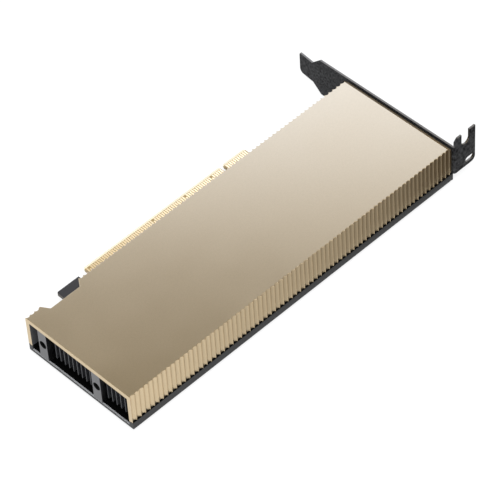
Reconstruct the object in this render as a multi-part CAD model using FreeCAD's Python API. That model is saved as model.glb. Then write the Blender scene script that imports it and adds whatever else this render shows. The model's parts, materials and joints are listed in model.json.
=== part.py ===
import FreeCAD, Part
import math
import os

os.makedirs("parts", exist_ok=True)

# A half-length, low-profile, single-slot accelerator card that is cooled by the
# air of the server it sits in. All sizes are millimetres. While it is drawn, X runs
# from the rear end to the bracket, Y from the fluted front flank to the edge
# contacts, and Z from the underside of the tray to the top of the cover. The last
# step moves the origin to the middle of the tray's underside.

# Envelope of the cover and the tray
COVER_LENGTH = 168.3
COVER_WIDTH = 55.7
COVER_TOP_THICKNESS = 1.9
COVER_WALL = 1.9
COVER_END_SLOPE_LENGTH = 1.8
COVER_END_SLOPE_DEPTH = 1.4
TRAY_FLOOR = 1.0
TRAY_RIM_HEIGHT = 1.5
TRAY_RAIL_HEIGHT = 3.4
TRAY_RAIL_WIDTH = 2.0
TRAY_CORNER_CUT = 0.9

# Flutes down both long sides of the cover, with sharp ridges between them. Each
# hollow follows its circle in a few flats, so that 154 of them stay light. The
# front end cuts the last one short.
FLUTE_PITCH = 2.196
FLUTE_DEPTH = 0.68
FLUTE_FLAT_COUNT = 3

# Notch in the cover beside the board's retention hook, counted in flutes
NOTCH_REAR_FLUTE_COUNT = 3
NOTCH_FLUTE_COUNT = 9
NOTCH_DEPTH = 3.4
NOTCH_REAR_SHOULDER = 0.8
NOTCH_REAR_SLANT = 2.1
NOTCH_FRONT_SLANT = 2.3

# Circuit board and its edge connector
BOARD_THICKNESS = 1.57
COMPONENT_HEIGHT = 14.47
BOARD_FRONT_INSET = 2.1
BOARD_TO_POST_GAP = 0.4
BOARD_TO_RAIL_GAP = 0.2
BOARD_PAST_COVER = 4.95
TONGUE_PAST_BOARD = 8.25
TONGUE_LENGTH = 84.7
TONGUE_FRONT_TO_PLATE = 45.04
TONGUE_CORNER = 0.5
KEY_WIDTH = 1.9
KEY_DEPTH = 7.4
KEY_FROM_TONGUE_FRONT = 11.65
BEVEL_LENGTH = 1.3
BEVEL_DEPTH = 0.35
CONTACT_PITCH = 1.0
CONTACT_WIDTH = 0.7
CONTACT_LENGTH = 4.2
CONTACT_SHORTER_BY = 1.1
CONTACT_THICKNESS = 0.05
FRONT_CONTACT_COUNT = 11
REAR_CONTACT_COUNT = 71
SHORT_CONTACT_NUMBERS = (17, 31, 48, 81)
HOOK_LENGTH = 11.0
HOOK_GAP = 4.1
HOOK_BEHIND_TIP = 2.05
HOOK_TOE_WIDTH = 3.9
HOOK_STEM_LENGTH = 6.2
HOOK_CORNER = 0.4

# Bracket of thin steel: a plate, a tab at its far end and a bent-out flange
STEEL = 0.86
PLATE_GAP = 0.44
PLATE_HEIGHT = 18.42
PLATE_BOTTOM_Z = -1.3
PLATE_PAST_COVER = 15.0
PLATE_SHOULDER = 4.4
TAB_BEND_PAST_PLATE = 4.6
TAB_PAST_PLATE = 12.3
TAB_TILT_DEG = 6.0
TAB_WIDTH = 10.19
TAB_TOP_CORNER = 0.9
TAB_LOW_CORNER = 2.0
BEND_RADIUS = 1.3
CUT_THROUGH = 2.6
FLANGE_FACE_Y = -0.5
FLANGE_REACH = 11.04
FLANGE_HEIGHT = 18.42
FLANGE_BOTTOM_Z = 2.75
FLANGE_CORNER = 2.2
FLANGE_CHAMFER = 1.5
SCREW_NOTCH_WIDTH = 4.42
SCREW_NOTCH_X = 5.5
SCREW_NOTCH_BOTTOM_Z = 15.1
SLOT_X = 7.9
SLOT_Z = 5.6
SLOT_LENGTH = 4.6
SLOT_WIDTH = 2.4
VENT_COUNT = 11
VENT_PITCH = 3.3
VENT_WIDTH = 2.1
VENT_HEIGHT = 9.4
VENT_MIDDLE_Z = 9.3
VENT_END_FLAT_COUNT = 3

# End posts: the rear pair takes a chassis extender, the front pair the bracket
POST_WIDTH = 4.5
POST_DEPTH = 8.0
REAR_POST_PITCH = 28.75
REAR_POST_WALL_GAP = 0.9
REAR_POST_HOLE_Z = 9.0
REAR_POST_HOLE_R = 1.25
REAR_POST_HOLE_DEPTH = 6.5
REAR_POST_SINK_R = 1.8
FRONT_POST_WIDTH = 5.6
FRONT_POST_HOLE_Z = 9.3

# Heat sink
FIN_THICKNESS = 0.45
FIN_COUNT = 21
FIN_EDGE_MARGIN = 0.95
FIN_REAR_X = 1.8
FIN_FRONT_INSET = 12.3
FIN_OVERHANG_Z = 4.0
FIN_TOP_GAP = 0.3
BASE_THICKNESS = 1.8
BASE_SIDE_MARGIN = 0.3
BASE_CORNER = 1.5
BASE_REAR_INSET = 0.4

# Processor package and what surrounds it, placed from the package's centre
PACKAGE_FROM_FRONT = 84.3
PACKAGE_OFFSET_Y = -0.85
SUBSTRATE_SIZE = 34.0
SUBSTRATE_HEIGHT = 1.5
DIE_LENGTH = 17.6
DIE_WIDTH = 16.8
DIE_HEIGHT = 0.75
COMPOUND_THICKNESS = 0.08
STIFFENER_BORDER = 3.2
STIFFENER_HEIGHT = 0.5
MEMORY_LENGTH = 14.0
MEMORY_WIDTH = 12.0
MEMORY_HEIGHT = 1.1
MEMORY_OFFSET_X = 30.0
MEMORY_PITCH_Y = 14.4
MEMORY_COUNT = 3
PAD_MARGIN = 1.0

# Power supply parts, in rows across the board
PHASE_COUNT = 6
PHASE_END_ROOM = 17.2
PHASE_GAP = 0.9
STAGE_OFFSET_X = 41.5
STAGE_LENGTH = 5.0
STAGE_WIDTH = 6.0
STAGE_HEIGHT = 0.8
INDUCTOR_OFFSET_X = 49.0
INDUCTOR_LENGTH = 6.8
INDUCTOR_HEIGHT = 2.0
INDUCTOR_CORNER = 0.9
CAPACITOR_OFFSET_X = 56.2
CAPACITOR_LENGTH = 4.3
CAPACITOR_GAP = 0.7
CAPACITOR_HEIGHT = 1.9
INPUT_CAPACITOR_OFFSET_X = -44.0
INPUT_CAPACITOR_COUNT = 4
FIRMWARE_OFFSET_X = -53.0
FIRMWARE_OFFSET_Y = -8.0
FIRMWARE_SIZE = (5.2, 5.2, 1.7)
CRYSTAL_OFFSET_X = -53.0
CRYSTAL_OFFSET_Y = 4.0
CRYSTAL_SIZE = (3.2, 2.5, 0.8)
INSULATOR_THICKNESS = 0.2
INSULATOR_MARGIN = 0.5
FILM_EDGE_MARGIN = 0.45

# Screws
THREAD_CLEARANCE = 0.05
HEAD_CLEARANCE = 0.05
HOLE_CLEARANCE = 0.25
SINK_SCREW_R = 1.0
SINK_SCREW_ACROSS_FLATS = 3.6
SINK_SCREW_HEAD_GAP = 0.05
SINK_SCREW_OFFSET_X = 20.0
SINK_SCREW_INSET_Y = 7.35
STANDOFF_ACROSS_FLATS = 4.0
STANDOFF_THREAD_LEFT = 0.3
COVER_SCREW_R = 1.25
COVER_SCREW_HEAD_R = 2.1
COVER_SCREW_TOP_Z = 9.0
COVER_BOSS_SIZE = 4.8
COVER_BOSS_GAP = 0.5
COVER_BOSS_REAR_X = 24.0
COVER_BOSS_FRONT_OFFSET_X = 62.0
COVER_BOSS_INSET_Y = 8.65
TRAY_PAD_SIZE = 6.0
BRACKET_SCREW_R = 1.25
BRACKET_SCREW_LENGTH = 6.0
BORE_PAST_SCREW = 0.6
HEXAGON_SIDE_COUNT = 6
DRIVER_SHARE_OF_HEAD = 0.45
DRIVER_SHARE_OF_DEPTH = 0.75

# Heights and places worked out from the sizes above
BOARD_TOP_Z = TRAY_RIM_HEIGHT + BOARD_THICKNESS
COVER_TOP_Z = BOARD_TOP_Z + COMPONENT_HEIGHT
CEILING_Z = COVER_TOP_Z - COVER_TOP_THICKNESS
TRAY_LENGTH = COVER_LENGTH
TRAY_WIDTH = COVER_WIDTH
PLATE_BACK_X = TRAY_LENGTH + PLATE_GAP
PLATE_FACE_X = PLATE_BACK_X + STEEL
FLUTE_COUNT = math.ceil(COVER_LENGTH / FLUTE_PITCH)
FLUTED_LENGTH = FLUTE_COUNT * FLUTE_PITCH
COVER_MIDDLE_Y = COVER_WIDTH / 2
NOTCH_FRONT_FLUTE = NOTCH_REAR_FLUTE_COUNT + NOTCH_FLUTE_COUNT
NOTCH_REAR_X = NOTCH_REAR_FLUTE_COUNT * FLUTE_PITCH
NOTCH_FRONT_X = NOTCH_FRONT_FLUTE * FLUTE_PITCH
BOARD_REAR_X = POST_DEPTH + BOARD_TO_POST_GAP
BOARD_FRONT_X = COVER_LENGTH - BOARD_FRONT_INSET
BOARD_NEAR_Y = TRAY_RAIL_WIDTH + BOARD_TO_RAIL_GAP
BOARD_EDGE_Y = COVER_WIDTH + BOARD_PAST_COVER
TONGUE_TIP_Y = BOARD_EDGE_Y + TONGUE_PAST_BOARD
TONGUE_FRONT_X = PLATE_BACK_X - TONGUE_FRONT_TO_PLATE
TONGUE_REAR_X = TONGUE_FRONT_X - TONGUE_LENGTH
KEY_FRONT_X = TONGUE_FRONT_X - KEY_FROM_TONGUE_FRONT
KEY_REAR_X = KEY_FRONT_X - KEY_WIDTH
PLATE_END_Y = COVER_WIDTH + PLATE_PAST_COVER
TAB_BEND_Y = PLATE_END_Y + TAB_BEND_PAST_PLATE
TAB_END_Y = PLATE_END_Y + TAB_PAST_PLATE
SINK_BOTTOM_Z = BOARD_TOP_Z + SUBSTRATE_HEIGHT + DIE_HEIGHT + COMPOUND_THICKNESS
SINK_PLATE_TOP_Z = SINK_BOTTOM_Z + BASE_THICKNESS
FIN_TOP_Z = CEILING_Z - FIN_TOP_GAP
FRONT_POST_X = PLATE_BACK_X - POST_DEPTH
COVER_INNER_FAR_Y = COVER_WIDTH - COVER_WALL
NOTCH_INNER_Y = COVER_WIDTH - NOTCH_DEPTH - COVER_WALL
FRONT_POST_YS = (COVER_WALL + FRONT_POST_WIDTH / 2, COVER_INNER_FAR_Y - FRONT_POST_WIDTH / 2)
REAR_POST_FAR_Y = NOTCH_INNER_Y - REAR_POST_WALL_GAP - POST_WIDTH / 2
REAR_POST_YS = (REAR_POST_FAR_Y - REAR_POST_PITCH, REAR_POST_FAR_Y)
BASE_REAR_X = BOARD_REAR_X + BASE_REAR_INSET
BASE_NEAR_Y = COVER_WALL + BASE_SIDE_MARGIN
BASE_FAR_Y = NOTCH_INNER_Y - BASE_SIDE_MARGIN
FIN_FRONT_X = COVER_LENGTH - FIN_FRONT_INSET
FIN_FIRST_Y = BASE_NEAR_Y + FIN_EDGE_MARGIN
FIN_PITCH = (BASE_FAR_Y - FIN_EDGE_MARGIN - FIN_FIRST_Y) / (FIN_COUNT - 1)
PACKAGE_X = COVER_LENGTH - PACKAGE_FROM_FRONT
PACKAGE_Y = COVER_MIDDLE_Y + PACKAGE_OFFSET_Y
PHASE_PITCH = (COVER_WIDTH - PHASE_END_ROOM) / (PHASE_COUNT - 1)
INDUCTOR_WIDTH = PHASE_PITCH - PHASE_GAP
CAPACITOR_WIDTH = PHASE_PITCH - CAPACITOR_GAP
SINK_SCREW_OFFSET_Y = COVER_MIDDLE_Y - SINK_SCREW_INSET_Y
COVER_BOSS_XS = (COVER_BOSS_REAR_X, PACKAGE_X + COVER_BOSS_FRONT_OFFSET_X)
COVER_BOSS_YS = (COVER_BOSS_INSET_Y, COVER_WIDTH - COVER_BOSS_INSET_Y)
ORIGIN = FreeCAD.Vector(TRAY_LENGTH / 2, TRAY_WIDTH / 2, 0)


def box(low, high):
    """A block between two opposite corners."""
    size = [b - a for a, b in zip(low, high)]
    return Part.makeBox(size[0], size[1], size[2], FreeCAD.Vector(*low))


def block(middle_x, middle_y, z, size):
    """A block centred on a point of the board, standing on height z."""
    low = (middle_x - size[0] / 2, middle_y - size[1] / 2, z)
    return box(low, (low[0] + size[0], low[1] + size[1], z + size[2]))


def upright(x, y, radius, low_z, high_z):
    """A cylinder standing along Z."""
    return Part.makeCylinder(radius, high_z - low_z, FreeCAD.Vector(x, y, low_z))


def prism(points, low_z, high_z):
    """A flat outline in plan, raised from one height to another."""
    corners = [FreeCAD.Vector(x, y, low_z) for x, y in points]
    wire = Part.makePolygon(corners + corners[:1])
    return Part.Face(wire).extrude(FreeCAD.Vector(0, 0, high_z - low_z))


def line(start, end):
    """A straight edge between two points in plan."""
    return Part.LineSegment(FreeCAD.Vector(*start, 0), FreeCAD.Vector(*end, 0)).toShape()


def arc(start, middle, end):
    """A round edge through three points in plan."""
    points = [FreeCAD.Vector(*point, 0) for point in (start, middle, end)]
    return Part.Arc(*points).toShape()


def upright_edges(shape, places, reach=0.05):
    """The vertical edges of a shape that stand at the given points in plan."""
    found = []
    for edge in shape.Edges:
        span = edge.BoundBox
        is_upright = span.XLength < reach and span.YLength < reach and span.ZLength > reach
        if is_upright and any(abs(span.XMin - x) < reach and abs(span.YMin - y) < reach for x, y in places):
            found.append(edge)
    return found


def six_sided(radius):
    """The corners of a hexagon round the origin in plan, closed, its corners on a circle."""
    angles = [math.radians(360 / HEXAGON_SIDE_COUNT * step) for step in range(HEXAGON_SIDE_COUNT + 1)]
    return [FreeCAD.Vector(radius * math.cos(angle), radius * math.sin(angle), 0) for angle in angles]


def countersunk_screw(x, y, head_r, shank_r, tip_z):
    """A flat-headed screw that goes up from the underside of the tray."""
    sink = head_r - shank_r
    head = Part.makeCone(head_r - HEAD_CLEARANCE, shank_r, sink - HEAD_CLEARANCE, FreeCAD.Vector(x, y, 0))
    shank = upright(x, y, shank_r, sink - HEAD_CLEARANCE, tip_z)
    recess = driver_recess(head_r, sink, FreeCAD.Vector(x, y, 0), FreeCAD.Vector(0, 0, 1))
    return head.fuse(shank).removeSplitter().cut(recess)


def driver_recess(head_r, sink, mouth, inward):
    """A six-sided hole in a screw head for the driver."""
    mouth_face = Part.Face(Part.makePolygon(six_sided(head_r * DRIVER_SHARE_OF_HEAD)))
    hole = mouth_face.extrude(FreeCAD.Vector(0, 0, sink * DRIVER_SHARE_OF_DEPTH))
    hole.Placement = FreeCAD.Placement(mouth, FreeCAD.Rotation(FreeCAD.Vector(0, 0, 1), inward))
    return hole


def countersunk_hole(x, y, head_r, shank_r):
    """The hole in the tray for one flat-headed screw."""
    sink = head_r - shank_r
    cone = Part.makeCone(head_r, shank_r, sink, FreeCAD.Vector(x, y, 0))
    return cone.fuse(upright(x, y, shank_r + THREAD_CLEARANCE, -TRAY_FLOOR, BOARD_TOP_Z))


def six_sided_block(x, y, across_flats, low_z, high_z):
    """An upright hexagonal prism."""
    hexagon = Part.Face(Part.makePolygon(six_sided(across_flats / math.sqrt(3))))
    solid = hexagon.extrude(FreeCAD.Vector(0, 0, high_z - low_z))
    solid.translate(FreeCAD.Vector(x, y, low_z))
    return solid


def sink_screw_places():
    """The four points round the processor package where the heat sink is screwed down."""
    places = []
    for side_x in (-1, 1):
        for side_y in (-1, 1):
            places.append((PACKAGE_X + side_x * SINK_SCREW_OFFSET_X,
                           PACKAGE_Y + side_y * SINK_SCREW_OFFSET_Y))
    return places


def cover_boss_places():
    """The four points where screws come up through the board into the cover."""
    return [(x, y) for x in COVER_BOSS_XS for y in COVER_BOSS_YS]


def fluted_edge(first, last, y, depth):
    """Outline of the concave flutes along a long side of the cover, without its last ridge."""
    step = 1 if last > first else -1
    half = FLUTE_PITCH / 2
    radius = (half ** 2 + depth ** 2) / (2 * abs(depth))
    half_sweep = math.asin(half / radius)
    rim = radius * math.cos(half_sweep)
    points = []
    for ridge in range(first, last, step):
        middle_x = (ridge + step / 2) * FLUTE_PITCH
        points.append((ridge * FLUTE_PITCH, y))
        for corner in range(1, FLUTE_FLAT_COUNT):
            turn = half_sweep * (2 * corner / FLUTE_FLAT_COUNT - 1)
            hollow = math.copysign(radius * math.cos(turn) - rim, depth)
            points.append((middle_x + step * radius * math.sin(turn), y + hollow))
    return points


def notch_outline(wall):
    """The notch's path in plan, seen from the front end, drawn in by a wall thickness."""
    far = COVER_WIDTH - wall
    deep = COVER_WIDTH - NOTCH_DEPTH - wall
    shoulder_x = NOTCH_REAR_X + NOTCH_REAR_SHOULDER
    return [(NOTCH_FRONT_X + wall, far), (NOTCH_FRONT_X - NOTCH_FRONT_SLANT + wall, deep),
            (shoulder_x + NOTCH_REAR_SLANT - wall, deep), (shoulder_x - wall, far)]


def make_cover():
    """One gold-coloured channel, open at both ends: fluted flanks, plain top, sloped front edge."""
    outline = fluted_edge(0, FLUTE_COUNT, 0, FLUTE_DEPTH) + [(FLUTED_LENGTH, 0)]
    outline += fluted_edge(FLUTE_COUNT, NOTCH_FRONT_FLUTE, COVER_WIDTH, -FLUTE_DEPTH)
    outline += notch_outline(0)
    outline += fluted_edge(NOTCH_REAR_FLUTE_COUNT, 0, COVER_WIDTH, -FLUTE_DEPTH)
    outline += [(0, COVER_WIDTH)]
    cover = prism(outline, TRAY_RAIL_HEIGHT, COVER_TOP_Z)
    past = COVER_WALL
    channel = [(-past, COVER_WALL), (COVER_LENGTH + past, COVER_WALL),
               (COVER_LENGTH + past, COVER_INNER_FAR_Y)]
    channel += notch_outline(COVER_WALL) + [(-past, COVER_INNER_FAR_Y)]
    cover = cover.cut(prism(channel, TRAY_RAIL_HEIGHT - past, CEILING_Z))
    slope_x = COVER_LENGTH - COVER_END_SLOPE_LENGTH
    front_end = [(slope_x, COVER_TOP_Z), (COVER_LENGTH, COVER_TOP_Z - COVER_END_SLOPE_DEPTH),
                 (COVER_LENGTH, 0), (FLUTED_LENGTH + past, 0),
                 (FLUTED_LENGTH + past, COVER_TOP_Z + past), (slope_x, COVER_TOP_Z + past)]
    corners = [FreeCAD.Vector(x, -past, z) for x, z in front_end]
    front_face = Part.Face(Part.makePolygon(corners + corners[:1]))
    cover = cover.cut(front_face.extrude(FreeCAD.Vector(0, COVER_WIDTH + 2 * past, 0)))
    pillar = (COVER_BOSS_SIZE, COVER_BOSS_SIZE, CEILING_Z - BOARD_TOP_Z)
    cover = cover.fuse([block(x, y, BOARD_TOP_Z, pillar) for x, y in cover_boss_places()])
    bore_top = COVER_SCREW_TOP_Z + BORE_PAST_SCREW
    cover = cover.cut([upright(x, y, COVER_SCREW_R + THREAD_CLEARANCE, BOARD_TOP_Z - past, bore_top)
                       for x, y in cover_boss_places()])
    return cover.removeSplitter()


def make_tray():
    """The dark back plate: a floor, a rim under the board and a rail under the front flank."""
    tray = box((0, 0, 0), (TRAY_LENGTH, TRAY_WIDTH, TRAY_RIM_HEIGHT))
    inside_low = (TRAY_RAIL_WIDTH, TRAY_RAIL_WIDTH, TRAY_FLOOR)
    inside_high = (TRAY_LENGTH - TRAY_RAIL_WIDTH, TRAY_WIDTH - TRAY_RAIL_WIDTH, TRAY_RAIL_HEIGHT)
    tray = tray.cut(box(inside_low, inside_high))
    rail = box((0, 0, TRAY_FLOOR), (TRAY_LENGTH, TRAY_RAIL_WIDTH, TRAY_RAIL_HEIGHT))
    corner = box((0, TRAY_WIDTH - TRAY_RAIL_WIDTH, TRAY_FLOOR), (POST_DEPTH, TRAY_WIDTH, TRAY_RAIL_HEIGHT))
    tray = tray.fuse([rail, corner])
    pad = (TRAY_PAD_SIZE, TRAY_PAD_SIZE, TRAY_RIM_HEIGHT - TRAY_FLOOR / 2)
    tray = tray.fuse([block(x, y, TRAY_FLOOR / 2, pad) for x, y in cover_boss_places()])
    tray = tray.cut([countersunk_hole(x, y, COVER_SCREW_HEAD_R, COVER_SCREW_R)
                     for x, y in cover_boss_places()])
    cut = TRAY_CORNER_CUT
    corner_cut = [FreeCAD.Vector(TRAY_LENGTH - cut, -cut, 0), FreeCAD.Vector(TRAY_LENGTH, -cut, 0),
                  FreeCAD.Vector(TRAY_LENGTH, -cut, cut)]
    wedge = Part.Face(Part.makePolygon(corner_cut + corner_cut[:1]))
    tray = tray.cut(wedge.extrude(FreeCAD.Vector(0, TRAY_WIDTH + 2 * cut, 0)))
    return tray.removeSplitter()


def board_outline():
    """The board in plan: straight sides, the keyed contact tongue and the hook behind it."""
    c = TONGUE_CORNER
    hook_front = TONGUE_REAR_X - HOOK_GAP
    hook_rear = hook_front - HOOK_LENGTH
    stem_front = hook_rear + HOOK_STEM_LENGTH
    hook_tip_y = TONGUE_TIP_Y - HOOK_BEHIND_TIP
    toe_y = hook_tip_y - HOOK_TOE_WIDTH
    key_y = TONGUE_TIP_Y - KEY_DEPTH
    return [(BOARD_REAR_X, BOARD_NEAR_Y), (BOARD_FRONT_X, BOARD_NEAR_Y),
            (BOARD_FRONT_X, BOARD_EDGE_Y), (TONGUE_FRONT_X, BOARD_EDGE_Y),
            (TONGUE_FRONT_X, TONGUE_TIP_Y - c), (TONGUE_FRONT_X - c, TONGUE_TIP_Y),
            (KEY_FRONT_X + c, TONGUE_TIP_Y), (KEY_FRONT_X, TONGUE_TIP_Y - c),
            (KEY_FRONT_X, key_y), (KEY_REAR_X, key_y),
            (KEY_REAR_X, TONGUE_TIP_Y - c), (KEY_REAR_X - c, TONGUE_TIP_Y),
            (TONGUE_REAR_X + c, TONGUE_TIP_Y), (TONGUE_REAR_X, TONGUE_TIP_Y - c),
            (TONGUE_REAR_X, BOARD_EDGE_Y), (stem_front, BOARD_EDGE_Y),
            (stem_front, toe_y), (hook_front, toe_y), (hook_front, hook_tip_y),
            (hook_rear + HOOK_CORNER, hook_tip_y), (hook_rear, hook_tip_y - HOOK_CORNER),
            (hook_rear, BOARD_EDGE_Y), (BOARD_REAR_X, BOARD_EDGE_Y)]


def tongue_bevel(face_z, depth):
    """The wedge that is ground off one face of the contact tongue's tip."""
    start_y = TONGUE_TIP_Y - BEVEL_LENGTH
    past_y = TONGUE_TIP_Y + BEVEL_LENGTH
    corners = [(start_y, face_z), (past_y, face_z - 2 * depth), (past_y, face_z + depth),
               (start_y, face_z + depth)]
    points = [FreeCAD.Vector(TONGUE_REAR_X - HOOK_GAP / 2, y, z) for y, z in corners]
    face = Part.Face(Part.makePolygon(points + points[:1]))
    return face.extrude(FreeCAD.Vector(TONGUE_LENGTH + HOOK_GAP, 0, 0))


def make_board():
    """The circuit board, bevelled at the tip of its contact tongue and drilled for the screws."""
    board = prism(board_outline(), TRAY_RIM_HEIGHT, BOARD_TOP_Z)
    board = board.cut(tongue_bevel(BOARD_TOP_Z, BEVEL_DEPTH))
    board = board.cut(tongue_bevel(TRAY_RIM_HEIGHT, -BEVEL_DEPTH))
    for x, y in sink_screw_places():
        board = board.cut(upright(x, y, SINK_SCREW_R + HOLE_CLEARANCE, 0, SINK_BOTTOM_Z))
    for x, y in cover_boss_places():
        board = board.cut(upright(x, y, COVER_SCREW_R + HOLE_CLEARANCE, 0, SINK_BOTTOM_Z))
    return board


def make_contacts(low_z, shorter):
    """One face's row of contacts, numbered from the bracket; the listed ones are shorter."""
    pads = []
    total = FRONT_CONTACT_COUNT + REAR_CONTACT_COUNT
    tip_y = TONGUE_TIP_Y - BEVEL_LENGTH
    front_margin = (KEY_FROM_TONGUE_FRONT - FRONT_CONTACT_COUNT * CONTACT_PITCH) / 2
    behind = KEY_REAR_X - TONGUE_REAR_X
    rear_margin = (behind - REAR_CONTACT_COUNT * CONTACT_PITCH) / 2
    for number in range(1, total + 1):
        if number <= FRONT_CONTACT_COUNT:
            x = TONGUE_FRONT_X - front_margin - (number - 0.5) * CONTACT_PITCH
        else:
            x = KEY_REAR_X - rear_margin - (number - FRONT_CONTACT_COUNT - 0.5) * CONTACT_PITCH
        end_y = tip_y - (CONTACT_SHORTER_BY if number in shorter else 0)
        low = (x - CONTACT_WIDTH / 2, tip_y - CONTACT_LENGTH, low_z)
        pads.append(box(low, (x + CONTACT_WIDTH / 2, end_y, low_z + CONTACT_THICKNESS)))
    return pads


def make_film():
    """Black film on the board's margin, which the cover's far wall stands on."""
    low = (BOARD_REAR_X, NOTCH_INNER_Y - BASE_SIDE_MARGIN / 2, BOARD_TOP_Z)
    film = box(low, (BOARD_FRONT_X, BOARD_EDGE_Y - FILM_EDGE_MARGIN, TRAY_RAIL_HEIGHT))
    return film.cut(box((FRONT_POST_X, 0, 0), (PLATE_BACK_X, COVER_INNER_FAR_Y, CEILING_Z)))


def make_insulator():
    """A thin sheet on the tray floor that keeps the solder side off the metal."""
    edge = TRAY_RAIL_WIDTH + INSULATOR_MARGIN
    sheet = box((edge + POST_DEPTH, edge, TRAY_FLOOR),
                (TRAY_LENGTH - edge, TRAY_WIDTH - edge, TRAY_FLOOR + INSULATOR_THICKNESS))
    pad_window = TRAY_PAD_SIZE + 2 * INSULATOR_MARGIN
    head_window = SINK_SCREW_ACROSS_FLATS + 2 * INSULATOR_MARGIN
    windows = [block(x, y, 0, (pad_window, pad_window, TRAY_RIM_HEIGHT)) for x, y in cover_boss_places()]
    windows += [block(x, y, 0, (head_window, head_window, TRAY_RIM_HEIGHT)) for x, y in sink_screw_places()]
    return sheet.cut(windows)


def bracket_side_outline():
    """The bracket plate as its outer face shows it, in Y and Z, with a shouldered tab."""
    low = PLATE_BOTTOM_Z
    top = low + PLATE_HEIGHT
    tab_low = low + (PLATE_HEIGHT - TAB_WIDTH) / 2
    tab_top = tab_low + TAB_WIDTH
    shoulder_y = PLATE_END_Y + PLATE_SHOULDER
    points = [(0.0, low), (PLATE_END_Y, low), (shoulder_y, tab_low), (TAB_END_Y, tab_low),
              (TAB_END_Y, tab_top), (shoulder_y, tab_top), (PLATE_END_Y, top), (0.0, top)]
    corners = [FreeCAD.Vector(PLATE_BACK_X - STEEL, y, z) for y, z in points]
    side = Part.Face(Part.makePolygon(corners + corners[:1])).extrude(FreeCAD.Vector(FLANGE_REACH, 0, 0))
    for z, radius in ((tab_low, TAB_LOW_CORNER), (tab_top, TAB_TOP_CORNER)):
        corner = [edge for edge in side.Edges
                  if edge.BoundBox.XLength > STEEL and abs(edge.BoundBox.ZMin - z) < THREAD_CLEARANCE
                  and abs(edge.BoundBox.YMin - TAB_END_Y) < THREAD_CLEARANCE]
        side = side.makeFillet(radius, corner)
    return side


def bracket_plan_strip(high_z, low_z):
    """The bent strip in plan: bend, flat plate and a tab tilted away from the card."""
    tilt = math.radians(TAB_TILT_DEG)
    bend_x = PLATE_BACK_X + BEND_RADIUS
    bend_y = FLANGE_FACE_Y + BEND_RADIUS
    inner = BEND_RADIUS - STEEL
    diagonal = math.sqrt(0.5)
    past = STEEL
    run = TAB_END_Y + past - TAB_BEND_Y
    across = (STEEL * math.cos(tilt), -STEEL * math.sin(tilt))
    tip_back = (PLATE_BACK_X + run * math.sin(tilt), TAB_BEND_Y + run * math.cos(tilt))
    tip_face = (tip_back[0] + across[0], tip_back[1] + across[1])
    knee_face = (PLATE_FACE_X, TAB_BEND_Y - STEEL * math.tan(tilt / 2))
    edges = [line((bend_x, FLANGE_FACE_Y), (bend_x, FLANGE_FACE_Y + STEEL)),
             arc((bend_x, FLANGE_FACE_Y + STEEL), (bend_x - inner * diagonal, bend_y - inner * diagonal),
                 (PLATE_FACE_X, bend_y)),
             line((PLATE_FACE_X, bend_y), knee_face), line(knee_face, tip_face),
             line(tip_face, tip_back), line(tip_back, (PLATE_BACK_X, TAB_BEND_Y)),
             line((PLATE_BACK_X, TAB_BEND_Y), (PLATE_BACK_X, bend_y)),
             arc((PLATE_BACK_X, bend_y), (bend_x - BEND_RADIUS * diagonal, bend_y - BEND_RADIUS * diagonal),
                 (bend_x, FLANGE_FACE_Y))]
    face = Part.Face(Part.Wire(edges))
    face.translate(FreeCAD.Vector(0, 0, low_z))
    return face.extrude(FreeCAD.Vector(0, 0, high_z - low_z))


def vent_slot(middle_y):
    """One upright opening through the bracket plate, its round ends in a few flats."""
    radius = VENT_WIDTH / 2
    corners = []
    for side in (1, -1):
        for corner in range(VENT_END_FLAT_COUNT + 1):
            turn = math.pi * corner / VENT_END_FLAT_COUNT
            rise = VENT_HEIGHT / 2 - radius + radius * math.sin(turn)
            corners.append(FreeCAD.Vector(PLATE_BACK_X - STEEL, middle_y + side * radius * math.cos(turn),
                                          VENT_MIDDLE_Z + side * rise))
    face = Part.Face(Part.makePolygon(corners + corners[:1]))
    return face.extrude(FreeCAD.Vector(PLATE_FACE_X - PLATE_BACK_X + 2 * STEEL, 0, 0))


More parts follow.
